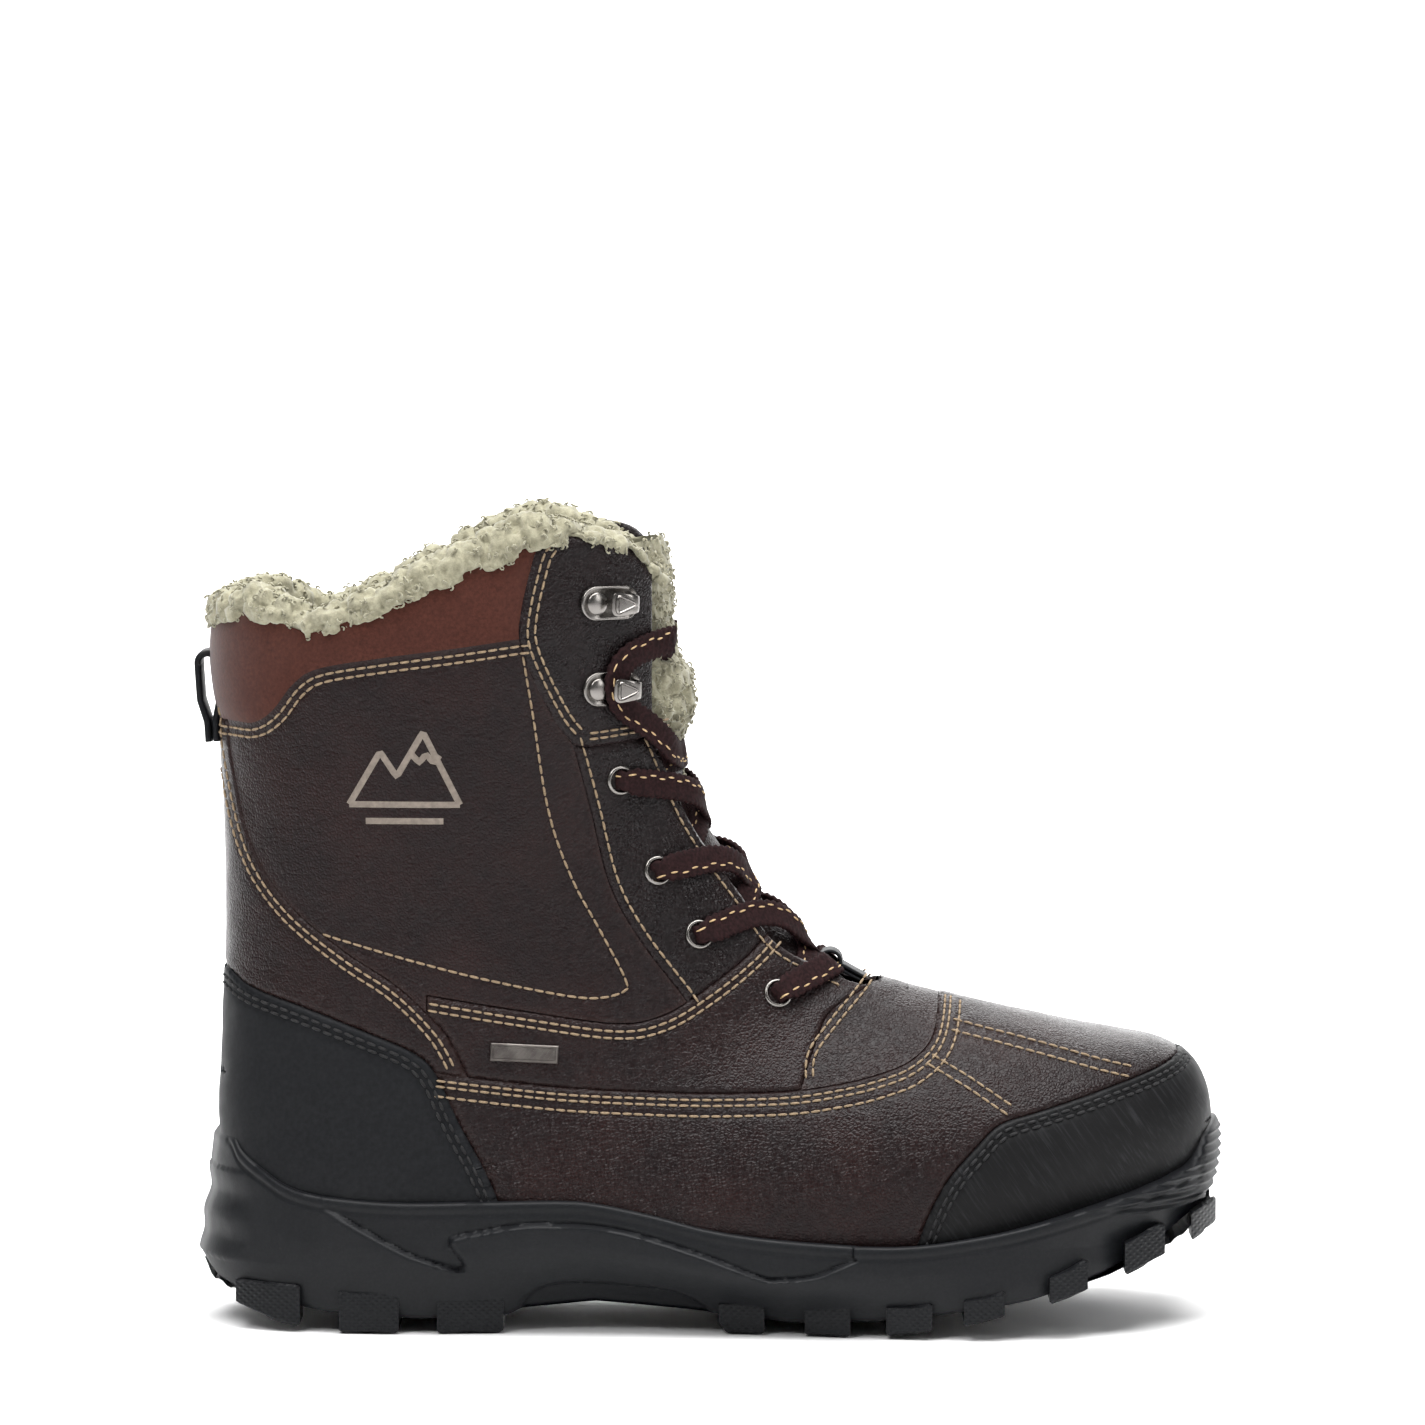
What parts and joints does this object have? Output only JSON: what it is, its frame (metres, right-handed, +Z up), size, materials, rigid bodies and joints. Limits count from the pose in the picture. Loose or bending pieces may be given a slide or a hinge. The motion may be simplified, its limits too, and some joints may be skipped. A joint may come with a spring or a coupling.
{
  "type": "insulated lace-up winter boot",
  "caption": "Right foot mid-height lace-up winter boot in dark brown leather with fleece lining, lace hooks, toe and heel guards and a lugged rubber sole.",
  "frame": {"origin": "on the ground, midway between the sole's ends along X and between its widest points along Y", "axes": "+X towards the toe, +Y towards the inner side of the foot, +Z up"},
  "size_m": [0.314, 0.1145, 0.2494],
  "materials": {
    "leather": "oiled full-grain, near-black brown",
    "guard": "smooth coated black",
    "facing_leather": "semi-gloss grey-brown",
    "suede": "napped red-brown suede",
    "fleece": "khaki pile",
    "felt": "pressed felt",
    "board": "fibre board",
    "steel": "plain",
    "sole_unit": "matt moulded",
    "rubber": "matt moulded",
    "nickel": "dull nickel",
    "antique_metal": "antique dark",
    "lace": "braided polyester",
    "aglet": "clear brown sheath",
    "webbing": "doubled leather strap"
  },
  "bodies": {
    "boot": {"aglet_lateral": "aglet", "aglet_medial": "aglet", "back_panel": "leather", "badge": "antique_metal", "collar": "suede", "collar_pile": "fleece", "eyelet_lateral_1": "nickel", "eyelet_lateral_2": "nickel", "eyelet_lateral_3": "nickel", "eyelet_lateral_4": "nickel", "eyelet_medial_1": "nickel", "eyelet_medial_2": "nickel", "eyelet_medial_3": "nickel", "eyelet_medial_4": "nickel", "eyestay_lateral": "facing_leather", "eyestay_medial": "facing_leather", "facing_lateral": "facing_leather", "facing_medial": "facing_leather", "footbed": "felt", "heel_counter": "board", "heel_guard": "guard", "hook_lateral_1": "nickel", "hook_lateral_2": "nickel", "hook_medial_1": "nickel", "hook_medial_2": "nickel", "instep_lateral": "leather", "instep_medial": "leather", "insulation": "felt", "lace": "lace", "lace_keeper": "leather", "lace_tail_lateral": "lace", "lace_tail_medial": "lace", "lasting_board": "board", "lining": "fleece", "midsole": "sole_unit", "mudguard": "leather", "outsole": "rubber", "quarter_lateral": "leather", "quarter_medial": "leather", "rivet_lateral_1": "nickel", "rivet_lateral_2": "nickel", "rivet_medial_1": "nickel", "rivet_medial_2": "nickel", "shank": "steel", "toe_cap": "guard", "toe_puff": "board", "vamp": "leather"},
    "tongue": {"tongue": "leather", "tongue_pile": "fleece"},
    "pull_loop": {"pull_loop": "webbing"}
  },
  "joints": [
    {"name": "tongue_hinge", "type": "hinge", "parent": "boot", "child": "tongue", "pos_m": [0.047, 0, 0.0965], "axis": [0, -1, 0], "range_deg": [0, 6], "stiffness_Nm_per_rad": 2, "springref_deg": -5.73},
    {"name": "pull_loop_hinge", "type": "hinge", "parent": "boot", "child": "pull_loop", "pos_m": [-0.1532, 0, 0.1772], "axis": [0, -1, 0], "range_deg": [0, 35], "stiffness_Nm_per_rad": 0.05, "springref_deg": -5.73}
  ]
}
